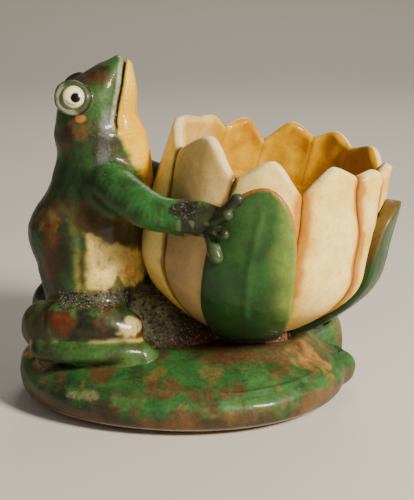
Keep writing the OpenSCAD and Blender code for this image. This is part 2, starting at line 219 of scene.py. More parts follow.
def pad_colour(p):
    """Green glaze, browner at the edges and darkened by painted shade under the flower, with the ochre, orange and red
    patches.
    """
    green, deep, leaf = srgb(46, 88, 42), srgb(34, 58, 30), srgb(62, 106, 52)
    olive, brown, umber = srgb(104, 92, 48), srgb(84, 62, 36), srgb(58, 42, 28)
    ochre, pale = srgb(150, 112, 60), srgb(196, 176, 128)
    colour = mix(np.tile(green, (len(p), 1)), deep, smoothstep(-0.1, 0.8, ragged(p, 11)))
    colour = mix(colour, leaf, 0.7 * smoothstep(0.2, 0.8, ragged(p, 14)))
    colour = mix(colour, olive, 0.8 * smoothstep(0.3, 0.7, ragged(p, 17)))
    colour = mix(colour, brown, 0.85 * smoothstep(0.25, 0.6, ragged(p, 20)))
    # the side wall: rust and brown low down, greener under the lip, and a bright lip edge
    lip = LIP_H + edge_rise(np.degrees(np.arctan2(p[:, 1], p[:, 0] - PAD_X)))
    low = 1 - smoothstep(lip * 0.45, lip * 0.8, p[:, 2] + 3.5 * ragged(p, 50))
    colour = mix(colour, mix(np.tile(srgb(104, 72, 42), (len(p), 1)), umber, 0.5 + 0.8 * ragged(p, 24)), 0.85 * low)
    edge = band(p[:, 2] - lip, -1.6, 0.9, 0.7)
    colour = mix(colour, leaf, 0.75 * edge * smoothstep(-0.5, 0.3, ragged(p, 27)))
    # under the flower and round its foot: red-brown glaze, darkened by painted shade under the bowl
    under = 1 - smoothstep(14, 27, np.hypot(p[:, 0] - 9, (p[:, 1] + 2) * 0.9) + 3 * noise(p, 5, 30))
    colour = mix(colour, mix(np.tile(srgb(66, 44, 28), (len(p), 1)), srgb(112, 58, 34), 0.6 * ragged(p, 31)),
                 0.9 * under)
    # the mottled brown patch at the right front, and the brown on the back lobe's outer side
    patch = spot(p, (32, -10, 11), (11, 15, 8), 34)
    colour = mix(colour, mix(np.tile(ochre, (len(p), 1)), brown, 0.5 + ragged(p, 35)), 0.9 * patch)
    back = smoothstep(44, 49, p[:, 0] + 1.5 * noise(p, 3, 38)) * smoothstep(8, 14, p[:, 1])
    colour = mix(colour, mix(np.tile(srgb(120, 98, 66), (len(p), 1)), brown, 0.5 + ragged(p, 39)), 0.9 * back)
    colour = mix(colour, srgb(206, 132, 70), spot(p, (-57.5, -4, 12.5), (4, 6, 4), 42))
    colour = mix(colour, srgb(168, 124, 72), 0.8 * spot(p, (-53, -14, 12), (5, 6, 4), 43))
    colour = mix(colour, srgb(140, 84, 42), spot(p, (-39, -19, 13), (5, 4, 6), 44))
    # painted highlight: a pale streak on the lip at the front left
    colour = mix(colour, pale, 0.3 * spot(p, (-42, -37, 9), (8, 4, 2), 45))
    return mix(colour, srgb(170, 150, 120), 0.85 * (1 - smoothstep(0.3, 1.2, p[:, 2])))


def make_pad(material):
    grid = pad_points(480)
    points = grid.reshape(-1, 3)
    faces = grid_faces(len(grid), grid.shape[1], True, True)
    grain = 0.2 * smoothstep(-0.2, 0.6, noise(points, 7, 48))
    piece("pad", points, faces, pad_colour(points), "lily_pad", material, grain)


# ---------- flower bowl ----------
FOOT_H, BOWL_LEAN, TIP_H, LINING_H = 2.5, 15.0, 65.0, 48.0
BASE_R, BELLY_R, RIM_R, BELLY_H = 15.0, 38.5, 34.5, 27.0
PETAL_T, LINING_T, FLOOR_H, BEND_H, RING_TIP = 3.0, 2.5, 5.5, 50.0, 0.85
SEPAL_H, SEPAL_T, SEPAL_HALF_W, SEPAL_FLARE = 52.8, 2.6, 14.6, 2.4
# for each petal: where it starts, in degrees from +X towards the frog's left, its tip's height over TIP_H, and the
# height of the notch where it starts. It ends where the next one starts.
PETALS = [(203, -2.1, 55.5), (146.3, -2, 62.1), (123.5, -1.5, 59.5), (96.4, 0.8, 57.3), (67.6, 1.2, 62.3),
          (41.3, 0.6, 62.5), (8, -1, 60), (-27, -1.8, 61), (-50.1, -2.2, 60.8), (-80.9, -4.1, 52.8),
          (-114.5, -2.4, 53.1)]
# the glaze pooled in the groove where each petal starts: how wide it is to each side in mm, and how brown, 0 to 1
GROOVES = [(1.5, 0.9), (0.8, 0.4), (0.8, 0.4), (0.8, 0.4), (0.8, 0.4), (0.8, 0.4), (0.8, 0.4), (1.5, 0.35),
           (1.7, 0.15), (2.8, 0.1), (1.4, 0.85)]
# where a petal's start leans round towards the bowl's foot: by how many degrees, and between which heights
LEANS = {0: (13, 26, 56), 7: (5, 40, 58), 8: (9, 40, 58), 9: (3.5, 40, 58)}
# each sepal's name, direction in degrees, how much more than SEPAL_FLARE its tip stands off, how strong the brown
# line along its edge is, and its noise seed
SEPALS = [("sepal_front", -97, -0.8, 0.85, 121), ("sepal_right", -14, 1.5, 0.25, 131), ("sepal_back", 80, 0.0, 0.6, 141)]

def lean(h):
    return np.radians(BOWL_LEAN) * np.clip(h / BEND_H, 0, 1)


def axis_at(h):
    """The bowl's axis: it rises straight from the foot and bends away from the frog."""
    r = BEND_H / math.radians(BOWL_LEAN)
    past = np.maximum(0, h - BEND_H)
    x = BOWL_X + r * (1 - np.cos(lean(h))) + past * math.sin(math.radians(BOWL_LEAN))
    z = (SEAT_Z + FOOT_H + r * np.sin(lean(h)) + past * math.cos(math.radians(BOWL_LEAN)) + np.minimum(0, h))
    return np.stack([x, np.zeros_like(x), z], -1)


def wall_r(h):
    """Outside radius of the petals at height h along the axis."""
    low = BASE_R + (BELLY_R - BASE_R) * (1 - (1 - np.clip(h, 0, BELLY_H) / BELLY_H) ** 2) ** 0.9
    high = BELLY_R - (BELLY_R - RIM_R) * (np.maximum(0, h - BELLY_H) / (TIP_H - BELLY_H)) ** 1.3
    return np.where(h < BELLY_H, low, high)


def bowl_point(a, h, r):
    """The point at angle a in degrees, height h and distance r from the bowl's axis."""
    tip, c, s = RING_TIP * lean(h), np.cos(np.radians(a)), np.sin(np.radians(a))
    return axis_at(h) + np.stack([r * c * np.cos(tip), r * s, -r * c * np.sin(tip)], -1)


def skin_point(a, h, d):
    """The point d outside the petals' outer skin, square to it."""
    step = 0.1
    slope = (wall_r(h + step) - wall_r(np.maximum(0, h - step))) / np.where(h < step, step + h, 2 * step)
    m = np.sqrt(1 + slope ** 2)
    return bowl_point(a, h - d * slope / m, wall_r(h) + d / m)


def bowl_gap(p):
    """About how far each point is outside the bowl's outer skin, negative inside."""
    h = p[:, 2] - SEAT_Z - FOOT_H
    for _ in range(4):
        tip = RING_TIP * lean(h)
        off = p - axis_at(h)
        h = h + off[:, 0] * np.sin(tip) + off[:, 2] * np.cos(tip)
    off = p - axis_at(h)
    r = np.linalg.norm(off, axis=1)
    return np.maximum(0.8 * (r - wall_r(np.clip(h, 0, TIP_H))), np.maximum(-h, h - TIP_H - 3))


def petal_peak(u, end_notch, start_notch, top):
    """Height of a petal's edge at place u across it, from -1 at its end to 1 at its start: a low pointed arch."""
    notch = np.where(u < 0, end_notch, start_notch)
    share = 0.6 * (1 - np.abs(u) ** 1.6) + 0.4 * np.cos(np.pi * u / 2) ** 2
    return notch + (top - notch) * share

def edge_distance(across, up, edge):
    """Distance in the plane of a petal or sepal from each point to its outline."""
    here = np.stack([across.ravel(), up.ravel()], 1)
    d = np.linalg.norm(here[:, None] - edge[None], axis=2).min(1)
    return d.reshape(across.shape)


def rounded(distance, thick, radius):
    """Half thickness that closes in a round rim at the outline."""
    x = np.clip(distance / radius, 0, 1)
    return thick / 2 * np.sqrt(np.maximum(0, 1 - (1 - x) ** 2))


def shell(outer, inner):
    """Points and quads of a closed curved plate from its outer and inner grids."""
    rows, cols = outer.shape[:2]
    points = np.concatenate([outer.reshape(-1, 3), inner.reshape(-1, 3)])
    skin = grid_faces(rows, cols, False, False)
    half = rows * cols
    loop = np.concatenate([np.arange(cols), np.arange(1, rows) * cols + cols - 1,
                           (rows - 1) * cols + np.arange(cols - 2, -1, -1), np.arange(rows - 2, 0, -1) * cols])
    after = np.roll(loop, -1)
    rim = np.stack([loop, loop + half, after + half, after], 1)
    return points, np.concatenate([skin, skin[:, ::-1] + half, rim])



def start_angle(i, h):
    """The angle at which petal i starts at height h."""
    degrees, low, high = LEANS.get(i, (0, 0, 1))
    return PETALS[i][0] + degrees * (1 - smoothstep(low, high, h))


def pooled(colour, near, i, ragged_by):
    """Paints the glaze pooled within the groove's own width of it, with a darker line at its bottom."""
    width, browner = GROOVES[i]
    orange, brown = srgb(184, 108, 0), srgb(84, 50, 16)
    tint = orange + (brown - orange) * browner
    halo = 0.55 * (1 - browner) * (1 - smoothstep(width, 2.2 * width, near + ragged_by))
    colour = mix(colour, srgb(236, 184, 30), halo)
    colour = mix(colour, tint, 0.85 * (1 - smoothstep(0.45 * width, 1.15 * width, near + 0.5 * ragged_by)))
    return mix(colour, brown, (0.45 + 0.4 * browner) * (1 - smoothstep(0.1, 0.55, near)))


def inside_colour(p, h):
    """Bright yellow at the rim, darkening to amber down in the bowl, where the darkening is painted shade."""
    colour = mix(np.tile(srgb(222, 168, 0), (len(p), 1)), srgb(190, 130, 0), 0.4 + 0.8 * ragged(p, 34))
    colour = mix(colour, srgb(230, 188, 20), 0.5 * smoothstep(0.1, 0.7, ragged(p, 37)) * smoothstep(46, 60, h))
    # painted shade: darker amber lower down in the bowl
    return mix(colour, srgb(140, 88, 10), 0.8 * (1 - smoothstep(14, 50, h)))


def petal_colour(i, a, h, u, half_w, inside, distance):
    """Cream outside and yellow inside, with orange-brown glaze pooled in the grooves between petals."""
    shape = u.shape
    a, h, u, distance = a.ravel(), h.ravel(), u.ravel(), distance.ravel()
    p = skin_point(a, h, np.full(len(h), -PETAL_T * inside))
    cream, warm, yellow = srgb(248, 222, 136), srgb(238, 202, 104), srgb(234, 176, 20)
    near = (1 - np.abs(u)) * half_w
    seam_noise = noise(p, 3, 33)
    before, after = [np.where(u * side > 0, near, half_w) for side in (1, -1)]
    if inside:
        colour = inside_colour(p, h)
        colour = mix(colour, srgb(190, 122, 10), 0.4 * (1 - smoothstep(0.3, 1.4, near + 0.5 * seam_noise)))
        # painted shade on the inner wall of the petals at the right
        colour = mix(colour, srgb(110, 70, 8), 0.55 * band(a, -20, 45, 15))
        return mix(colour, srgb(232, 192, 116), 0.7 * band(a, 134, 210, 8)).reshape(*shape, 3)
    colour = mix(np.tile(cream, (len(p), 1)), warm, 0.25 + 0.6 * ragged(p, 31))
    colour = mix(colour, yellow, 0.45 * (1 - smoothstep(6, 26, h)))
    colour = mix(colour, srgb(222, 182, 92), 0.5 * smoothstep(0.35, 0.8, ragged(p, 38)))
    # a yellow tinge at the tips of the petals at the right, and the warm patch at the notch in front
    tinge = 0.3 * band(a, -62, 40, 8) + 0.55 * band(a, -26, 40, 3)
    colour = mix(colour, yellow, tinge * smoothstep(52, 58, h + noise(p, 4, 41)))
    notch = np.hypot(near / 3.5, (h - PETALS[9][2]) / 6) + 0.3 * noise(p, 4, 42)
    colour = mix(colour, srgb(230, 168, 74), 0.8 * (1 - smoothstep(0.4, 1.1, notch)) * band(a, -98, -66, 2))
    # painted shade: darker low down, under the bowl's belly
    colour = mix(colour, srgb(150, 122, 62), 0.6 * (1 - smoothstep(4, 20, h)))
    # under the arm the petal is olive glaze darkened by painted shade
    olive = mix(np.tile(srgb(124, 106, 50), (len(p), 1)), srgb(84, 72, 34), 0.5 + 0.8 * ragged(p, 43))
    shaded = band(a, -157, -126, 4 + 2 * seam_noise) * (1 - smoothstep(46, 56, h)) * (i == 10)
    colour = mix(colour, olive, 0.8 * shaded)
    # painted shade: this petal, which faces away from the light, is dulled all over, and more low down beside the belly
    colour = mix(colour, srgb(196, 164, 104), 0.6 * (i == 10) * np.ones(len(p)))
    colour = mix(colour, srgb(150, 122, 84), 0.5 * band(a, -150, -116, 3) * (1 - smoothstep(36, 48, h)))
    colour = pooled(colour, before, i, seam_noise)
    colour = pooled(colour, after, (i + 1) % len(PETALS), seam_noise)
    rim = 1 - smoothstep(0.4, 1.6, distance + 0.5 * noise(p, 3, 36))
    return mix(colour, srgb(240, 226, 186), 0.5 * rim * smoothstep(0.5, 2.0, near)).reshape(*shape, 3)


def make_petal(i, material):
    after = (i + 1) % len(PETALS)
    top, start_notch, end_notch = TIP_H + PETALS[i][1], PETALS[i][2], PETALS[after][2]
    turn = 360 if PETALS[after][0] > PETALS[i][0] else 0
    u, t = np.meshgrid(np.linspace(-1, 1, 65), np.linspace(0, 1, 84), indexing="ij")
    peak = petal_peak(u, end_notch, start_notch, top)
    h = 0.8 + (peak - 0.8) * (1 - (1 - t) ** 1.35)
    start_a, end_a = start_angle(i, h), start_angle(after, h) - turn
    a = end_a + (start_a - end_a) * (u + 1) / 2
    half_w = math.radians((start_a.min() - end_a.max()) / 2) * RIM_R
    line = np.linspace(-1, 1, 161)
    edge = np.stack([line * half_w, petal_peak(line, end_notch, start_notch, top)], 1)
    distance = edge_distance(u * half_w, h, edge)
    thick = rounded(distance, PETAL_T + 0.4 * np.exp(-((distance - 1.8) / 1.6) ** 2), 1.7)
    rise = smoothstep(4, 16, h)
    bulge = (0.9 * (1 - np.abs(u) ** 2.2) - 0.5 * np.abs(u) ** 12) * rise
    place = skin_point(a.ravel(), h.ravel(), 0 * h.ravel())
    wave = (0.3 * noise(place, 8, 41) + 0.12 * noise(place, 3.2, 42)).reshape(h.shape) * rise
    flare = (0.6 * math.sin(3.7 * i) + 0.3) * smoothstep(40, TIP_H, h)
    middle = -PETAL_T / 2 + flare * (1 - u ** 2) + wave
    fold = 0.35 * np.cos(np.pi * 1.6 * u + i) * smoothstep(40, 58, h) * (1 - smoothstep(0, 1, u ** 6))
    outer = skin_point(a, h, middle + thick + bulge * np.clip(thick / 1.5, 0, 1))
    inner = skin_point(a, h, middle - thick + fold * np.clip(thick / 1.5, 0, 1))
    points, faces = shell(outer, inner)
    colour = np.concatenate([petal_colour(i, a, h, u, half_w, inside, distance).reshape(-1, 3) for inside in (0, 1)])
    piece(f"petal_{i + 1:02d}_glazed", points, faces, colour, f"petal_{i + 1:02d}", material)


def make_lining(material):
    """The bowl's inner wall and floor, thinning to nothing under the petals' inner sides."""
    a = np.arange(180) * 2.0
    small = 0.02
    rings = [bowl_point(a, np.full(180, 0.2), np.full(180, r)) for r in (small, 5.0, BASE_R - 2.5)]
    for h in np.linspace(1.5, LINING_H, 26):
        rings.append(skin_point(a, np.full(180, h), np.full(180, -PETAL_T + 0.5)))
    for h in np.linspace(LINING_H, 5, 30):
        thick = LINING_T * (1 - smoothstep(26, LINING_H - 2, h)) + 0.25 - 0.9 * smoothstep(42, LINING_H, h)
        rings.append(skin_point(a, np.full(180, h), np.full(180, -PETAL_T - thick)))
    for r in np.linspace(9, small, 7):
        rings.append(bowl_point(a, np.full(180, FLOOR_H), np.full(180, r)))
    grid = np.array(rings)
    points = grid.reshape(-1, 3)
    colour = inside_colour(points, points[:, 2] - SEAT_Z - FOOT_H)
    faces = grid_faces(*grid.shape[:2], True, True)
    piece("bowl_inside", points, faces, colour, "bowl_lining", material)


def sepal_half(t):
    """Half width of a sepal at share t of its length."""
    return (SEPAL_HALF_W * np.sin(np.radians(np.minimum(90, 42 + 160 * t))) ** 0.8
            * np.maximum(0, 1 - t ** 4) ** 0.6 + 0.3)


def sepal_colour(points, at, up, near, edge_line, seed):
    """Green, darker at the foot and on the hand's side as painted shade, lighter higher up and yellow-green at the far
    edge as painted light, with a brown edge line.
    """
    green, lime, dark = srgb(36, 78, 32), srgb(120, 142, 58), srgb(26, 46, 24)
    colour = mix(np.tile(green, (len(points), 1)), dark, 0.1 + 0.5 * ragged(points, seed))
    # painted light on the upper part and the far edge; painted shade at the foot and on the hand's side
    colour = mix(colour, srgb(64, 98, 48), 0.7 * smoothstep(0.55, 0.95, up + 0.1 * noise(points, 5, seed + 3)))
    colour = mix(colour, dark, 0.7 * (1 - smoothstep(0.02, 0.35, up + 0.1 * noise(points, 5, seed + 6))))
    colour = mix(colour, dark, 0.7 * (1 - smoothstep(-1.0, -0.3, at)))
    colour = mix(colour, lime, 0.8 * smoothstep(0.25, 0.9, at + 0.12 * noise(points, 5, seed + 7)) * smoothstep(0.05, 0.4, up))
    line = (1 - smoothstep(0.4, 1.3, near + 0.3 * noise(points, 2, seed + 8))) * smoothstep(0.5, 0.75, up)
    return mix(colour, srgb(166, 100, 44), edge_line * line)


def make_sepal(name, direction, extra_flare, edge_line, seed, material):
    t, u = np.meshgrid(np.linspace(0, 1, 110), np.linspace(-1, 1, 57), indexing="ij")
    h = 0.8 + (SEPAL_H - 0.8) * t
    across = sepal_half(t) * u
    line = np.linspace(0, 1, 160)
    edge = np.concatenate([np.stack([s * sepal_half(line), 0.8 + (SEPAL_H - 0.8) * line], 1) for s in (-1, 1)])
    distance = edge_distance(across, h, edge)
    thick = rounded(distance, SEPAL_T, 1.6)
    a = direction + np.degrees(np.arctan(across / wall_r(h)))
    gap = (SEPAL_FLARE + extra_flare) * (h / SEPAL_H) ** 2
    place = skin_point(a.ravel(), h.ravel(), gap.ravel())
    wave = (0.3 * noise(place, 7, seed) + 0.12 * noise(place, 2.8, seed + 1)).reshape(h.shape)
    rib = 0.3 * np.exp(-(across / 1.1) ** 2) * smoothstep(6, 16, h) * (1 - smoothstep(44, 51, h))
    middle = gap + SEPAL_T / 2 - 0.4 + wave
    points, faces = shell(skin_point(a, h, middle + thick + rib), skin_point(a, h, middle - thick - 0.3 - 0.7 * gap))
    at, up, near = [np.tile(v.ravel(), 2) for v in (u, t, distance)]
    colour = sepal_colour(points, at, up, near, edge_line, seed)
    piece(name + "_glazed", points, faces[:, ::-1], colour, name, material)

# ---------- frog: rounded forms as distances ----------
# each row is x, y, z and the three radii of one egg shape; a member is the skin round a smooth run of them
BODY = [[-36, 0, 20, 17, 18, 9], [-37, 0, 32, 17.3, 19, 13], [-38.5, 0, 45, 18.4, 19.5, 14],
        [-39.6, 0, 54, 19.6, 18, 13], [-36.4, 0, 63, 17, 16.5, 13], [-34.6, 0, 74, 15.2, 14.5, 11],
        [-35.2, 0, 83, 13.8, 13.2, 9]]
BODY_WALL = 5.0
HOLLOW = [[-37, 0, 8, 12.5, 12.5, 5]] + [[x, y, z, rx - BODY_WALL, ry - BODY_WALL, rz]
                                         for x, y, z, rx, ry, rz in BODY[:5]]
HEAD = [[-36.6, 0, 87, 12, 13, 8], [-37.2, 0, 93, 11.4, 12.6, 8], [-35.8, 0, 98.5, 9.6, 11.4, 7],
        [-32, 0, 103.5, 6.2, 8.2, 5.5], [-28.4, 0, 108, 2.6, 4.6, 3.2]]
JAW = [[-25.4, 0, 107.5, 1.6, 4.2, 2], [-26, 0, 100, 3.4, 7.5, 4], [-27, 0, 92, 4.6, 9.5, 4],
       [-27.5, 0, 84, 8, 11, 5], [-26, 0, 74, 8, 10.5, 6], [-26, 0, 67, 7.8, 9.5, 5]]
ARM = [[-34, -11, 72, 6.5, 6, 6.5], [-27, -18.5, 70, 6.4, 6, 6.6], [-17, -25.5, 65.2, 5.6, 5.4, 5.9],
       [-8, -30, 64.5, 4.4, 4.2, 5.4]]
PALM = [[-7.5, -30.2, 64.4, 4.2, 4, 5.4], [-2, -33, 64.4, 4.2, 3.2, 5.6], [2.5, -34.8, 64, 3.2, 2.6, 5]]
FINGER_TIPS = [(9, -38.5, 71.5), (6, -39.6, 67), (5, -40, 61.5), (3, -39.3, 54)]
FINGER_R = 2.0
THIGH = [[-54, -13, 24.5, 6.5, 7, 8], [-46, -17, 26.5, 8, 8, 8], [-36, -18.5, 26.5, 8.5, 8, 7.8],
         [-27, -17, 24.8, 6.5, 7, 6.5]]
FOOT = [[-52, -20, 18.5, 5, 5, 3.6], [-42, -23, 19, 6.5, 5.5, 3.9], [-31, -23.5, 18.8, 6.5, 5.5, 3.9],
        [-22, -21, 18, 4.5, 5, 3.4]]
# the clay that fills the corner between the frog, the bowl and the pad
FILL = [[-23, 0, 24, 8, 18, 15], [-14, 0, 21, 9, 18, 14], [-4, 0, 17, 9, 16, 9]]
EYE_X, EYE_Y, EYE_Z, EYE_R, LID_R, LID_OUT = -42.3, 11.5, 98.6, 4.3, 1.6, 0.5
# beyond this many mm a member's distance is not worked out, as nothing there depends on it
REACH = 6.0

def eggs_distance(p, eggs):
    """Distance to the nearest of some egg shapes, correct near their skins."""
    out = np.full(len(p), REACH)
    for egg in eggs:
        off = p - egg[:3]
        near = np.all(np.abs(off) < egg[3:] + REACH, axis=1)
        q = off[near] / egg[3:]
        k0 = np.linalg.norm(q, axis=1)
        k1 = np.linalg.norm(q / egg[3:], axis=1)
        out[near] = np.minimum(out[near], k0 * (k0 - 1) / np.maximum(k1, 1e-6))
    return out


def ring_distance(p, centre, normal):
    """Distance to the round lid that rings an eye, a little out from the eye's centre."""
    off = p - centre - LID_OUT * normal
    up = off @ normal
    out = np.sqrt(np.maximum(0, (off ** 2).sum(1) - up ** 2))
    return np.hypot(out - EYE_R, up) - LID_R


def eye_frame(side):
    """Centre of an eye and the outward direction of its lid, side -1 for the frog's right."""
    turn, pitch = math.radians(72), math.radians(12)
    out = np.array([math.cos(turn) * math.sin(pitch), side * math.sin(turn), math.cos(turn) * math.cos(pitch)])
    return np.array([EYE_X, side * EYE_Y, EYE_Z]), out


def gaze(side):
    """The way the pupil points: a little further forward than the lid."""
    forward = np.array([0.25, 0.92 * side, 0.28])
    return forward / np.linalg.norm(forward)

def mirrored(eggs, side):
    """The same eggs on the frog's right for side -1, or its left for side 1."""
    eggs = np.array(eggs, float)
    eggs[:, 1] *= -side
    return eggs


def member_eggs():
    """Every member of the frog as a list of egg shapes."""
    eggs = {"frog_body": smooth_curve(BODY, 6), "frog_head": smooth_curve(HEAD, 6),
            "frog_lower_jaw": smooth_curve(JAW, 6)}
    for side, name in ((-1, "right"), (1, "left")):
        fingers = [smooth_curve([[0, -34, 62.5, 2.2, 2, 2.2], [0.5 * x, -37, 0.5 * (z + 62.5)] + [FINGER_R] * 3,
                                 [x, y, z] + [FINGER_R] * 3], 6) for x, y, z in FINGER_TIPS]
        eggs[name + "_arm"] = mirrored(smooth_curve(ARM, 7), side)
        eggs[name + "_hand"] = mirrored(np.concatenate([smooth_curve(PALM, 5)] + fingers), side)
        eggs[name + "_thigh"] = mirrored(smooth_curve(THIGH, 7), side)
        eggs[name + "_foot"] = mirrored(smooth_curve(FOOT, 7), side)
    return eggs


EGGS = member_eggs()
HOLLOW_EGGS = smooth_curve(HOLLOW, 4)
FILL_EGGS = smooth_curve(FILL, 6)
# how softly each member runs into those before it, in mm
BLEND = {"frog_body": 0, "frog_head": 4.5, "frog_lower_jaw": 2.0, "arm": 3.2, "hand": 1.8, "thigh": 2.4, "foot": 2.6,
         "eyelid": 1.4, "pad": 3.0}


def blend_of(name):
    return BLEND.get(name, BLEND.get(name.split("_")[-1]))


def soft_min(a, b, k):
    """The lesser of a and b, rounded where they are within k of each other."""
    if k == 0:
        return np.minimum(a, b)
    h = np.maximum(k - np.abs(a - b), 0) / k
    return np.minimum(a, b) - h * h * k / 4


def soft_max(a, b, k):
    """The greater of a and b, rounded where they are within k of each other."""
    return -soft_min(-a, -b, k)


def mouth_x(z):
    """Where the mouth's crease lies, from its corner up to the snout."""
    return np.interp(z, [87, 91, 96, 102.6, 109.5], [-28.3, -29, -28.3, -27, -26.2])


def members_at(p):
    """Distance from each point to each member of the frog, and to the pad's top that the frog runs into."""
    d = {name: eggs_distance(p, eggs) for name, eggs in EGGS.items()}
    for side, name in ((-1, "right"), (1, "left")):
        d[name + "_eyelid"] = ring_distance(p, *eye_frame(side))
    d["pad"] = p[:, 2] - pad_top(p[:, 0], p[:, 1])
    return d


def frog_distance(p, d):
    """Distance to the whole frog's skin: the members run together, with the mouth and the folds carved in."""
    whole = d["frog_body"]
    for name in d:
        if name != "frog_body":
            whole = soft_min(whole, d[name], blend_of(name))
    mouth = np.exp(-((p[:, 0] - mouth_x(p[:, 2])) / 0.45) ** 2) * smoothstep(87, 89.5, p[:, 2])
    haunch = np.exp(-((p[:, 0] + 40.4 - 0.8 * noise(p, 9, 71)) / 1.3) ** 2) * band(p[:, 2], 38, 57, 3)
    lumps = 0.4 * noise(p, 8, 72) + 0.2 * noise(p, 3.2, 73)
    return whole + 0.7 * mouth + 0.8 * haunch * (np.abs(p[:, 1]) > 8) + lumps


def border_of(name, d, p):
    """How far each point is past the border of a member's own region, negative inside it."""
    others = [v for other, v in d.items() if other != name]
    past = (d[name] - np.min(others, axis=0)) / 2
    if name in ("frog_head", "frog_lower_jaw"):
        side = (p[:, 0] - mouth_x(p[:, 2])) * (1 if name == "frog_head" else -1)
        share = smoothstep(86, 90, p[:, 2])
        rest = [v for other, v in d.items() if other not in ("frog_head", "frog_lower_jaw")]
        outer = (np.minimum(d["frog_head"], d["frog_lower_jaw"]) - np.min(rest, axis=0)) / 2
        past = (1 - share) * past + share * np.maximum(side, outer)
    return past


OVERLAP = 1.2


def piece_field(name):
    """The distance function of one piece. Past its border it sinks under its neighbour's skin, then ends."""
    def field(p):
        d = members_at(p)
        past = border_of(name, d, p)
        f = np.maximum(frog_distance(p, d) + 0.25 * np.maximum(past, 0), past - OVERLAP)
        f = np.maximum(f, -(bowl_gap(p) + 1.4))
        f = np.maximum(f, pad_top(p[:, 0], p[:, 1]) - 1.0 - p[:, 2])
        if name == "frog_body":
            f = np.maximum(f, -eggs_distance(p, HOLLOW_EGGS))
        return f
    return field


def foot_distance(p):
    """Distance to the round foot that the bowl stands on, with the clay that fills the corner beside the frog."""
    disc = soft_max(np.hypot(p[:, 0] - BOWL_X, p[:, 1]) - BASE_R - 0.9, np.abs(p[:, 2] - SEAT_Z - 1.2) - 2.0, 1.5)
    whole = soft_min(disc, eggs_distance(p, FILL_EGGS), 2.5) + 0.35 * noise(p, 5, 61) + 0.25 * noise(p, 1.8, 62)
    whole = np.maximum(whole, -(bowl_gap(p) + 1.0))
    whole = np.maximum(whole, -(eggs_distance(p, EGGS["frog_body"]) + 1.2))
    return np.maximum(whole, pad_top(p[:, 0], p[:, 1]) - 1.0 - p[:, 2])

# ---------- meshing a distance function ----------
CUBE_EDGES = [(a, b) for a in range(8) for b in range(8) if a < b and bin(a ^ b).count("1") == 1]


def sample_grid(field, axes, step):
    """The field on a grid, worked out fully only near the surface, which a coarser grid finds first."""
    coarse = 4
    rough_axes = [a[::coarse] for a in axes]
    rough = np.stack(np.meshgrid(*rough_axes, indexing="ij"), -1)
    far = field(rough.reshape(-1, 3)).reshape(rough.shape[:3])
    index = np.ix_(*[np.minimum((np.arange(len(a)) + coarse // 2) // coarse, len(r) - 1)
                     for a, r in zip(axes, rough_axes)])
    values = far[index].copy()
    close = np.abs(values) < coarse * step * 2.2
    grid = np.stack(np.meshgrid(*axes, indexing="ij"), -1)
    values[close] = field(grid[close])
    return values


def surface_net(field, low, high, step):
    """Points and quads of the closed surface where the field is zero."""
    axes = [np.arange(a, b + step, step) for a, b in zip(low, high)]
    values = sample_grid(field, axes, step)
    size = np.array(values.shape) - 1
    corners = []
    for c in range(8):
        o = (c & 1, c >> 1 & 1, c >> 2 & 1)
        corners.append(values[o[0]:size[0] + o[0], o[1]:size[1] + o[1], o[2]:size[2] + o[2]])
    corners = np.array(corners)
    inside = corners < 0
    mixed = inside.any(0) & ~inside.all(0)
    cells = np.argwhere(mixed)
    v = corners[:, mixed]
    total, count = np.zeros((len(cells), 3)), np.zeros(len(cells))
    for a, b in CUBE_EDGES:
        cut = (v[a] < 0) != (v[b] < 0)
        t = np.where(cut, v[a] / np.where(cut, v[a] - v[b], 1), 0)
        start = np.array([a & 1, a >> 1 & 1, a >> 2 & 1])
        end = np.array([b & 1, b >> 1 & 1, b >> 2 & 1])
        total += cut[:, None] * (start + t[:, None] * (end - start))
        count += cut
    points = np.array(low) + step * (cells + total / count[:, None])
    number = np.full(mixed.shape, -1)
    number[mixed] = np.arange(len(cells))
    quads = []
    for axis in range(3):
        e1, e2 = [np.eye(3, dtype=int)[(axis + k) % 3] for k in (1, 2)]
        step_to = np.eye(3, dtype=int)[axis]
        sign = values < 0
        a = sign[1:size[0], 1:size[1], 1:size[2]]
        b = sign[1 + step_to[0]:size[0] + step_to[0], 1 + step_to[1]:size[1] + step_to[1],
                 1 + step_to[2]:size[2] + step_to[2]]
        where = np.argwhere(a != b) + 1
        around = [number[tuple((where - off).T)] for off in (e1 + e2, e2, 0 * e1, e1)]
        quad = np.stack(around, 1)
        flip = ~sign[tuple(where.T)]
        quad[flip] = quad[flip][:, ::-1]
        quads.append(quad)
    quads = np.concatenate(quads)
    return points, quads[(quads >= 0).all(1)]


def slope_of(field, p, step=0.05):
    """The field's gradient by four samples round each point."""
    corners = np.array([[1, -1, -1], [-1, -1, 1], [-1, 1, -1], [1, 1, 1]])
    return sum(field(p + c * step)[:, None] * c for c in corners) / (4 * step)


def onto_surface(field, points, step):
    """Moves the points onto the surface, never more than a cell."""
    for _ in range(2):
        g = slope_of(field, points)
        move = -field(points)[:, None] * g / np.maximum((g ** 2).sum(1), 0.1)[:, None]
        size = np.linalg.norm(move, axis=1, keepdims=True)
        points = points + move * np.minimum(1, 0.5 * step / np.maximum(size, 1e-9))
    return points


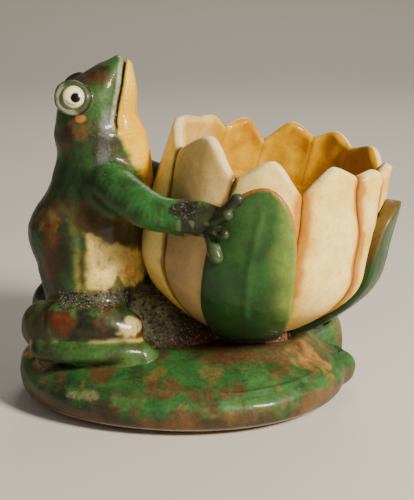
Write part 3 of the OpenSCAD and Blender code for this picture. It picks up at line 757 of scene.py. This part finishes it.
# ---------- frog: painting ----------
def paint_face(colour, q, z, behind):
    """The lips, the grey patch behind the mouth, the eye's surroundings and the brow. Both sides of the face match."""
    slate, pale, black = srgb(104, 110, 108), srgb(176, 174, 146), srgb(24, 22, 20)
    x = q[:, 0]
    upper = smoothstep(96, 101, z)
    lip = band(behind + 0.2 * noise(q, 2, 89), 0.4, 1.7, 0.35) * smoothstep(87, 90, z)
    colour = mix(colour, mix(np.tile(pale, (len(q), 1)), srgb(120, 122, 96), 0.4 + 0.8 * ragged(q, 90)), 0.85 * lip)
    patch = band(behind + 0.5 * noise(q, 2.5, 88), 1.8, 4.6, 0.6) * band(z, 86, 95, 2) * (1 - upper)
    colour = mix(colour, mix(np.tile(slate, (len(q), 1)), black, 0.1 + 0.7 * ragged(q, 93)), 0.85 * patch)
    colour = mix(colour, srgb(104, 78, 44), 0.8 * spot(q, (-41.5, -13, 88.8), (6, 7, 4), 92))
    colour = mix(colour, srgb(66, 44, 30), 0.7 * spot(q, (-45, -12.5, 87), (3.5, 6, 3), 95))
    colour = mix(colour, srgb(206, 134, 70), spot(q, (-39.6, -13, 92.4), (1.9, 5, 1.3), 96))
    brow = spot(q, (-35.5, -5, 105), (6, 7, 3.5), 94)
    colour = mix(colour, mix(np.tile(srgb(92, 56, 32), (len(q), 1)), srgb(40, 28, 20), 0.4 + ragged(q, 97)), 0.9 * brow)
    crease = band(behind, -0.35, 0.4, 0.18) * smoothstep(87.5, 89.5, z)
    colour = mix(colour, black, 0.95 * crease)
    return mix(colour, srgb(36, 46, 28), 0.6 * band(x, -36.2, -34.6, 0.5) * band(z, 74, 93, 2))


def paint_belly(colour, x, z, p):
    """The cream belly with its ragged olive edge, and above it a band of dark umber that is painted shadow under the
    arm.
    """
    cream, olive, umber = srgb(226, 198, 112), srgb(112, 108, 46), srgb(70, 54, 30)
    top = 54.0 - 0.42 * (x + 34)
    low = 38.5 + 5 * np.exp(-((x + 28.5) / 1.2) ** 2) - 4.5 * np.exp(-((x + 33) / 1.1) ** 2)
    edge = 1.1 * noise(p, 4, 83) + 0.6 * noise(p, 1.6, 84)
    inside = smoothstep(-0.8, 0.8, top - z + edge) * smoothstep(-0.8, 0.8, z - low + edge)
    tone = mix(np.tile(cream, (len(p), 1)), srgb(196, 164, 94), 0.3 + 0.8 * ragged(p, 85))
    tone = mix(tone, srgb(222, 170, 96), 0.6 * spot(p, (-24, -14, 41), (6, 10, 5), 86))
    tone = mix(tone, srgb(150, 138, 76), 0.6 * smoothstep(0.15, 0.6, ragged(p, 87)))
    side = smoothstep(-44, -41, x + edge) * smoothstep(33, 37, z) * (1 - smoothstep(59, 63, z))
    colour = mix(colour, mix(np.tile(olive, (len(p), 1)), srgb(60, 72, 38), 0.4 + ragged(p, 88)), 0.85 * side)
    # painted shadow of the arm: dark umber just above the belly
    colour = mix(colour, mix(np.tile(umber, (len(p), 1)), srgb(96, 84, 40), 0.3 + ragged(p, 89)),
                 0.9 * smoothstep(-43, -40, x + edge) * band(z - top, 0.5, 9, 1.5))
    return mix(colour, tone, inside * smoothstep(-39.5, -37, x + edge))


def frog_colour(p):
    """The frog's glaze: green back and limbs, cream and yellow throat and belly, with its stripes and patches."""
    x, y, z = p.T
    d = members_at(p)
    green, leaf, deep = srgb(44, 74, 34), srgb(52, 98, 42), srgb(30, 42, 22)
    cream, yellow, brown = srgb(236, 196, 60), srgb(222, 168, 0), srgb(84, 66, 36)
    rust, umber, black = srgb(88, 54, 24), srgb(66, 44, 26), srgb(24, 22, 20)
    colour = mix(np.tile(green, (len(p), 1)), deep, 0.3 + 0.8 * ragged(p, 81))
    colour = mix(colour, leaf, 0.6 * smoothstep(0.15, 0.7, ragged(p, 84)))
    colour = mix(colour, brown, 0.8 * smoothstep(0.1, 0.5, ragged(p, 78)))
    on_head = smoothstep(86, 92, z)
    colour = mix(colour, mix(np.tile(srgb(56, 92, 40), (len(p), 1)), deep, 0.05 + 0.6 * ragged(p, 75)), 0.8 * on_head)
    arm = np.minimum(np.minimum(d["right_arm"], d["left_arm"]), np.minimum(d["right_hand"], d["left_hand"]))
    body = d["frog_body"] < arm + 0.5
    q = np.stack([x, -np.abs(y), z], 1)
    # hump and streak on the back's side, and a dark band of painted shade down it
    colour = mix(colour, srgb(118, 90, 42), 0.8 * spot(q, (-51, -14, 59), (5.5, 9, 4.5), 95))
    colour = mix(colour, mix(np.tile(rust, (len(p), 1)), umber, 0.5 + ragged(p, 96)), 0.9 * spot(q, (-50, -15, 48), (4, 10, 13), 96))
    dark = band(x + 0.8 * noise(p, 4, 97), -47.5, -43.5, 1.2) * band(z, 40, 76, 4)
    colour = mix(colour, srgb(40, 40, 24), 0.75 * dark * smoothstep(-0.6, 0.2, ragged(p, 98)))
    # a grey stripe runs down the neck from behind the mouth
    neck = band(x + 0.7 * noise(p, 4, 90) - 0.22 * (z - 86), -34.2, -29.6, 0.8) * band(z, 74, 90, 3)
    colour = mix(colour, mix(np.tile(srgb(88, 94, 88), (len(p), 1)), black, 0.15 + 0.8 * ragged(p, 91)), 0.85 * neck * body)
    under_jaw = z < 66
    colour = np.where((body & under_jaw)[:, None], paint_belly(colour, x, z, p), colour)
    # throat down to the chest
    throat_side = smoothstep(0.0, 1.0, d["frog_body"] - d["frog_lower_jaw"] + 0.6 * noise(p, 3, 86))
    on_jaw = np.where(z > 87, smoothstep(-0.25, 0.45, x - mouth_x(z)), throat_side)
    throat = mix(np.tile(yellow, (len(p), 1)), cream, 0.2 + 0.7 * ragged(p, 87))
    throat = mix(throat, srgb(196, 138, 0), 0.6 * smoothstep(0.2, 0.7, ragged(p, 80)))
    throat = mix(throat, cream, 0.8 * band(x - mouth_x(z), 0.2, 1.6, 0.4) * (z > 87))
    colour = mix(colour, throat, on_jaw * (arm > d["frog_lower_jaw"] - 0.3) * smoothstep(60, 64, z))
    colour = paint_face(colour, q, z, mouth_x(z) - x)
    # folded legs: rust and olive over green, with a pale line where the upper and the lower roll meet, tan glaze with
    # painted highlight
    thigh = np.minimum(d["right_thigh"], d["left_thigh"])
    foot = np.minimum(d["right_foot"], d["left_foot"])
    low = (np.minimum(thigh, foot) < d["frog_body"] + 0.3) * (z < 36)
    mottled = mix(np.tile(srgb(70, 76, 34), (len(p), 1)), srgb(30, 28, 18), 0.5 + ragged(p, 101))
    mottled = mix(mottled, srgb(58, 96, 44), smoothstep(0.0, 0.7, ragged(p, 104)))
    mottled = mix(mottled, srgb(74, 46, 20), smoothstep(0.1, 0.6, ragged(p, 107)))
    colour = mix(colour, mottled, 0.95 * low)
    on_foot = low * smoothstep(-0.6, 0.6, thigh - foot)
    colour = mix(colour, mix(np.tile(srgb(60, 100, 46), (len(p), 1)), srgb(48, 60, 30), 0.3 + ragged(p, 110)), 0.85 * on_foot)
    colour = mix(colour, mix(np.tile(srgb(88, 40, 10), (len(p), 1)), srgb(44, 24, 12), 0.3 + ragged(p, 113)),
                 0.95 * low * (1 - on_foot) * spot(q, (-46.5, -24, 28.5), (5.5, 8, 4), 103))
    # the pale line is tan glaze and partly painted highlight
    ridge = np.exp(-((thigh - foot + 0.5 * noise(p, 3, 115)) / 0.9) ** 2) * low
    colour = mix(colour, mix(np.tile(srgb(158, 146, 84), (len(p), 1)), cream, 0.2 + ragged(p, 116)),
                 0.8 * ridge * smoothstep(-0.5, 0.2, ragged(p, 118)))
    # painted highlight: a cream patch where the knee curves
    colour = mix(colour, srgb(206, 184, 124), 0.75 * low * spot(q, (-24.5, -23, 27), (4, 6, 3), 105))
    # the grey seam where body and legs meet
    seam = band(z + 0.9 * noise(p, 4, 99), 33.2, 37.6, 1.0) * body * (x > -48)
    colour = mix(colour, mix(np.tile(srgb(78, 76, 64), (len(p), 1)), srgb(40, 42, 34), 0.4 + ragged(p, 128)), 0.85 * seam)
    # arms are a brighter green, dark at the wrist and over the fingers
    limb = arm < d["frog_body"]
    bright = mix(np.tile(srgb(48, 104, 46), (len(p), 1)), srgb(38, 64, 28), 0.1 + 0.8 * ragged(p, 119))
    colour = mix(colour, bright, 0.95 * limb * smoothstep(-36, -28, x))
    hand = limb * smoothstep(-0.5, 0.5, np.minimum(d["right_arm"], d["left_arm"])
                             - np.minimum(d["right_hand"], d["left_hand"]))
    colour = mix(colour, mix(np.tile(srgb(66, 84, 48), (len(p), 1)), srgb(40, 40, 28), 0.4 + ragged(p, 122)), 0.95 * hand)
    colour = mix(colour, srgb(140, 140, 104), 0.6 * hand * smoothstep(0.45, 0.7, noise(p, 2.2, 125)) * (x < 4))
    colour = mix(colour, srgb(34, 32, 26), 0.9 * limb * spot(q, (-6.5, -33, 68.5), (5.5, 6, 3.4), 106))
    return mix(colour, srgb(40, 40, 28), 0.85 * hand * band(z - 0.25 * x, 67.2, 69.4, 0.6) * (x > -4))


def frog_grain(p):
    """Where the frog's glaze is grainy: most in the seam over the legs, a little on the hands and the wrist."""
    q = np.stack([p[:, 0], -np.abs(p[:, 1]), p[:, 2]], 1)
    seam = band(p[:, 2] + 0.9 * noise(p, 4, 99), 32.5, 38, 1.0) * (p[:, 0] > -48)
    wrist = spot(q, (-6.5, -33, 68.5), (6, 6, 4), 106)
    neck = 0.25 * band(p[:, 0], -36, -28, 1) * band(p[:, 2], 74, 96, 2)
    return np.clip(seam + 0.6 * wrist + neck, 0, 1)


def lid_colour(p, side):
    """Pale grey-green under and behind the eye, dark at its outer edge and in front. The far lid is all dark, which is
    painted shade.
    """
    centre, out = eye_frame(side)
    off = p - centre
    across = np.linalg.norm(off - (off @ out)[:, None] * out, axis=1)
    behind = smoothstep(0.2, -0.5, (off[:, 0] * 0.9 + off[:, 2] * 0.45) / EYE_R)
    colour = mix(np.tile(srgb(62, 74, 42), (len(p), 1)), srgb(150, 156, 128), behind + 0.3 * noise(p, 2, 64))
    colour = mix(colour, srgb(34, 32, 24), 0.85 * smoothstep(EYE_R + 0.8, EYE_R + 1.6, across + 0.3 * noise(p, 2, 65)))
    # painted shade: the far lid is darkened all over
    return mix(colour, srgb(36, 34, 28), np.full(len(p), 0.85 * (side > 0)))


def eyeball_colour(p, side):
    """Off-white, with a black pupil and a grey arc under it."""
    out = gaze(side)
    off = p - eye_frame(side)[0]
    across = np.linalg.norm(off - (off @ out)[:, None] * out, axis=1) + 0.12 * noise(p, 1.5, 111)
    front = (off @ out) > 0
    colour = mix(np.tile(srgb(238, 226, 184), (len(p), 1)), srgb(206, 190, 140), 0.5 * smoothstep(2.2, 3.2, across))
    arc = band(across, 2.4, 2.9, 0.2) * smoothstep(0.2, 1.4, -off[:, 2] - 0.5 * off[:, 0])
    colour = mix(colour, srgb(70, 74, 72), 0.8 * arc * front)
    pupil = np.linalg.norm(off - out * EYE_R - np.array([0.45, 0, -0.5]), axis=1)
    colour = mix(colour, srgb(12, 12, 12), (1 - smoothstep(1.6, 1.95, pupil)) * front)
    return mix(colour, srgb(112, 120, 92), smoothstep(3.2, 3.6, across))


def foot_colour(p):
    """Near black under the flower, where the dark glaze is deepened by painted shade under the bowl; slate beside the
    frog, and red-brown along the pad.
    """
    colour = mix(np.tile(srgb(122, 118, 90), (len(p), 1)), srgb(62, 62, 42), 0.4 + 0.9 * ragged(p, 131))
    # painted shade under the bowl's overhang: near black
    colour = mix(colour, srgb(34, 26, 18), 0.9 * smoothstep(-17, -6, p[:, 0] + 1.5 * noise(p, 4, 134)))
    low = 1 - smoothstep(20.5, 23.0, p[:, 2] + 1.2 * noise(p, 4, 135))
    red = mix(np.tile(srgb(112, 56, 32), (len(p), 1)), srgb(56, 34, 22), 0.4 + ragged(p, 136))
    return mix(colour, red, 0.85 * low * smoothstep(-18, -10, p[:, 0]))


# ---------- making the frog's pieces ----------
def meshed(name, field, low, high, step, colour_of, material, grain=0.0):
    """Meshes a distance function between two corners, paints it and hides the CAD node's own mesh."""
    points, quads = surface_net(field, low, high, step)
    points = onto_surface(field, points, step)
    grain = grain(points) if callable(grain) else grain
    piece(name + "_glazed", points, quads, colour_of(points), name, material, grain)


def make_frog_piece(name, material, step=0.6):
    eggs = EGGS[name]
    low, high = (eggs[:, :3] - eggs[:, 3:]).min(0) - 3, (eggs[:, :3] + eggs[:, 3:]).max(0) + 3
    meshed(name, piece_field(name), low, high, step, frog_colour, material, frog_grain)


def make_foot(material):
    """The bowl's round foot and the clay in the corner beside the frog."""
    low, high = np.array([-30.0, -21, 15]), np.array([34.0, 21, 41])
    meshed("bowl_foot", foot_distance, low, high, 0.5, foot_colour, material, 0.8)


def make_eyelid(name, side, material):
    centre, _ = eye_frame(side)
    meshed(name, piece_field(name), centre - 8, centre + 8, 0.35, lambda p: lid_colour(p, side), material)


def make_eyeball(name, side, material):
    """A ball whose front is pressed a little flat."""
    centre, out = eye_frame(side)[0], gaze(side)

    def field(p):
        off = p - centre
        return soft_max(np.linalg.norm(off, axis=1) - EYE_R, off @ out - (EYE_R - 0.4), 1.2) + 0.05 * noise(p, 2.2, 112)

    reach = EYE_R + 1
    meshed(name, field, centre - reach, centre + reach, 0.3, lambda p: eyeball_colour(p, side), material)

# ---------- materials ----------
def glaze(name, mottle, flecks, crackle, bump_depth, gloss):
    """A glaze over the painted colours: mottling, dark flecks, crazing, grains, unevenness and a clear coat."""
    material = bpy.data.materials.new(name)
    material.use_nodes = True
    nodes, links = material.node_tree.nodes, material.node_tree.links
    shader = nodes["Principled BSDF"]
    paint = nodes.new("ShaderNodeAttribute")
    paint.attribute_name = "glaze"
    place = nodes.new("ShaderNodeTexCoord").outputs["Object"]

    def noise_node(scale, detail, output="Fac"):
        n = nodes.new("ShaderNodeTexNoise")
        n.inputs["Scale"].default_value = scale
        n.inputs["Detail"].default_value = detail
        links.new(place, n.inputs["Vector"])
        return n.outputs[output]

    def ranged(value, low, high, to_low, to_high):
        n = nodes.new("ShaderNodeMapRange")
        for socket, v in (("From Min", low), ("From Max", high), ("To Min", to_low), ("To Max", to_high)):
            n.inputs[socket].default_value = v
        links.new(value, n.inputs["Value"])
        return n.outputs["Result"]

    def combined(operation, first, second):
        n = nodes.new("ShaderNodeVectorMath")
        n.operation = operation
        links.new(first, n.inputs[0])
        links.new(second, n.inputs[1])
        return n.outputs["Vector"]

    def blended(colour, tint, share):
        n = nodes.new("ShaderNodeMixRGB")
        n.inputs["Color2"].default_value = (*tint, 1)
        links.new(share, n.inputs["Fac"])
        links.new(colour, n.inputs["Color1"])
        return n.outputs["Color"]

    broad, middle, fine = noise_node(120, 5), noise_node(360, 6), noise_node(900, 4)
    colour = combined("MULTIPLY", paint.outputs["Color"], ranged(broad, 0.3, 0.7, 1 - mottle, 1 + 0.6 * mottle))
    colour = combined("MULTIPLY", colour, ranged(fine, 0.3, 0.7, 1 - 0.6 * mottle, 1 + 0.5 * mottle))
    colour = blended(colour, srgb(52, 36, 20), ranged(middle, 0.54, 0.66, 0, flecks))
    # wavy crazing: the cells' places are pushed about a little
    pushed = nodes.new("ShaderNodeVectorMath")
    pushed.operation = "SCALE"
    pushed.inputs["Scale"].default_value = 0.003
    links.new(noise_node(260, 2, "Color"), pushed.inputs[0])
    cracks = nodes.new("ShaderNodeTexVoronoi")
    cracks.feature = "DISTANCE_TO_EDGE"
    cracks.inputs["Scale"].default_value = 300
    links.new(combined("ADD", place, pushed.outputs["Vector"]), cracks.inputs["Vector"])
    colour = combined("MULTIPLY", colour, ranged(cracks.outputs["Distance"], 0.0, 0.035, 1 - crackle, 1))
    # pale and dark grains, as strong as the paint's graininess says
    for tint, low, high in ((srgb(146, 140, 116), 0.56, 0.68), (srgb(34, 30, 22), 0.46, 0.38)):
        share = combined("MULTIPLY", paint.outputs["Alpha"], ranged(noise_node(2400 * high, 3), low, high, 0, 1))
        colour = blended(colour, tint, share)
    links.new(colour, shader.inputs["Base Color"])
    links.new(ranged(fine, 0.35, 0.7, gloss, gloss + 0.14), shader.inputs["Roughness"])
    uneven = nodes.new("ShaderNodeBump")
    uneven.inputs["Strength"].default_value = 0.5
    uneven.inputs["Distance"].default_value = bump_depth
    links.new(broad, uneven.inputs["Height"])
    rough = nodes.new("ShaderNodeBump")
    rough.inputs["Strength"].default_value = 0.35
    rough.inputs["Distance"].default_value = bump_depth
    links.new(middle, rough.inputs["Height"])
    links.new(uneven.outputs["Normal"], rough.inputs["Normal"])
    links.new(rough.outputs["Normal"], shader.inputs["Normal"])
    shader.inputs["Specular IOR Level"].default_value = 0.2
    shader.inputs["Coat Weight"].default_value = 0.22
    shader.inputs["Coat Roughness"].default_value = 0.05
    return material

# ---------- floor, light and camera ----------
def make_floor():
    """A wide pale floor that curves up behind the object."""
    profile = smooth_curve([[-1.6, 0], [-0.4, 0], [0.6, 0], [1.1, 0.06], [1.5, 0.45], [1.65, 1.4]], 8)
    half = 2.6
    points = [(x, y, z) for y, z in profile for x in (-half, half)]
    faces = [(2 * i, 2 * i + 1, 2 * i + 3, 2 * i + 2) for i in range(len(profile) - 1)]
    mesh = bpy.data.meshes.new("floor")
    mesh.from_pydata(points, [], faces)
    mesh.polygons.foreach_set("use_smooth", [True] * len(faces))
    material = bpy.data.materials.new("pale_floor")
    material.use_nodes = True
    nodes, links = material.node_tree.nodes, material.node_tree.links
    grain = nodes.new("ShaderNodeTexNoise")
    grain.inputs["Scale"].default_value = 3
    ramp = nodes.new("ShaderNodeValToRGB")
    ramp.color_ramp.elements[0].color = (0.60, 0.56, 0.51, 1)
    ramp.color_ramp.elements[1].color = (0.66, 0.62, 0.56, 1)
    links.new(grain.outputs["Fac"], ramp.inputs["Fac"])
    links.new(ramp.outputs["Color"], nodes["Principled BSDF"].inputs["Base Color"])
    nodes["Principled BSDF"].inputs["Roughness"].default_value = 0.7
    mesh.materials.append(material)
    floor = bpy.data.objects.new("floor", mesh)
    bpy.context.scene.collection.objects.link(floor)


def make_light(name, place, aim, size, power, colour):
    """A soft square light at place, turned to aim, all in metres."""
    data = bpy.data.lights.new(name, "AREA")
    data.size = size
    data.energy = power
    data.color = colour
    light = bpy.data.objects.new(name, data)
    light.location = place
    light.rotation_euler = (Vector(aim) - Vector(place)).to_track_quat("-Z", "Y").to_euler()
    bpy.context.scene.collection.objects.link(light)


def make_camera():
    """The photograph's view: level with the flower's rim, looking a little down."""
    data = bpy.data.cameras.new("camera")
    data.lens = 89
    data.sensor_width = 36
    data.clip_start = 0.01
    camera = bpy.data.objects.new("camera", data)
    aim, distance, down = Vector((0, 0, 0.0466)), 0.412, math.radians(14)
    camera.location = aim + Vector((0, -math.cos(down), math.sin(down))) * distance
    camera.rotation_euler = (aim - camera.location).to_track_quat("-Z", "Y").to_euler()
    bpy.context.scene.collection.objects.link(camera)
    bpy.context.scene.camera = camera


def make_world():
    world = bpy.data.worlds.new("studio")
    world.use_nodes = True
    background = world.node_tree.nodes["Background"]
    background.inputs["Color"].default_value = (0.80, 0.77, 0.72, 1)
    background.inputs["Strength"].default_value = 0.2
    bpy.context.scene.world = world


# ---------- the scene ----------
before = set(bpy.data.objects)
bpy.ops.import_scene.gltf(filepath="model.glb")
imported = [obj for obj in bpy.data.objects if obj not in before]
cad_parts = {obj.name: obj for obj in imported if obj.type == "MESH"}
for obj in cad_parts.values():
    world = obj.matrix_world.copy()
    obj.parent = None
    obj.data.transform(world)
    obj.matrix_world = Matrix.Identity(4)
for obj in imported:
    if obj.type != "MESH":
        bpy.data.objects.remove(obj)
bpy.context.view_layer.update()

pad_glaze = glaze("pad_glaze", mottle=0.32, flecks=0.35, crackle=0.06, bump_depth=0.0006, gloss=0.42)
cream_glaze = glaze("cream_glaze", mottle=0.10, flecks=0.10, crackle=0.16, bump_depth=0.0003, gloss=0.44)
yellow_glaze = glaze("yellow_glaze", mottle=0.18, flecks=0.12, crackle=0.12, bump_depth=0.0003, gloss=0.42)
sepal_glaze = glaze("sepal_glaze", mottle=0.22, flecks=0.16, crackle=0.08, bump_depth=0.0004, gloss=0.42)
frog_glaze = glaze("frog_glaze", mottle=0.30, flecks=0.45, crackle=0.06, bump_depth=0.0004, gloss=0.42)
throat_glaze = glaze("throat_glaze", mottle=0.12, flecks=0.15, crackle=0.16, bump_depth=0.0003, gloss=0.42)
eye_glaze = glaze("eye_glaze", mottle=0.06, flecks=0.05, crackle=0.06, bump_depth=0.0001, gloss=0.14)
dark_skin_glaze = glaze("dark_skin_glaze", mottle=0.35, flecks=0.40, crackle=0.06, bump_depth=0.0006, gloss=0.44)

make_pad(pad_glaze)
make_foot(pad_glaze)
make_lining(yellow_glaze)
for number in range(len(PETALS)):
    make_petal(number, cream_glaze)
for sepal in SEPALS:
    make_sepal(*sepal, sepal_glaze)

make_frog_piece("frog_body", frog_glaze)
make_frog_piece("frog_head", frog_glaze, step=0.45)
make_frog_piece("frog_lower_jaw", throat_glaze, step=0.45)
for side_name, side_sign in (("right", -1), ("left", 1)):
    make_eyeball(side_name + "_eyeball", side_sign, eye_glaze)
    make_eyelid(side_name + "_eyelid", side_sign, frog_glaze)
    make_frog_piece(side_name + "_arm", frog_glaze, step=0.5)
    make_frog_piece(side_name + "_hand", dark_skin_glaze, step=0.35)
    make_frog_piece(side_name + "_thigh", frog_glaze, step=0.5)
    make_frog_piece(side_name + "_foot", frog_glaze, step=0.5)

make_floor()
make_world()
make_light("key", (0.62, -0.49, 0.50), (0, 0, 0.05), 0.20, 19.5, (1.0, 0.91, 0.76))
make_light("fill", (-0.6, -0.5, 0.45), (0, 0, 0.05), 0.6, 0.5, (0.95, 0.96, 1.0))
make_light("rim", (0.1, 0.7, 0.7), (0, 0, 0.06), 0.4, 2.5, (1.0, 0.97, 0.92))
make_camera()
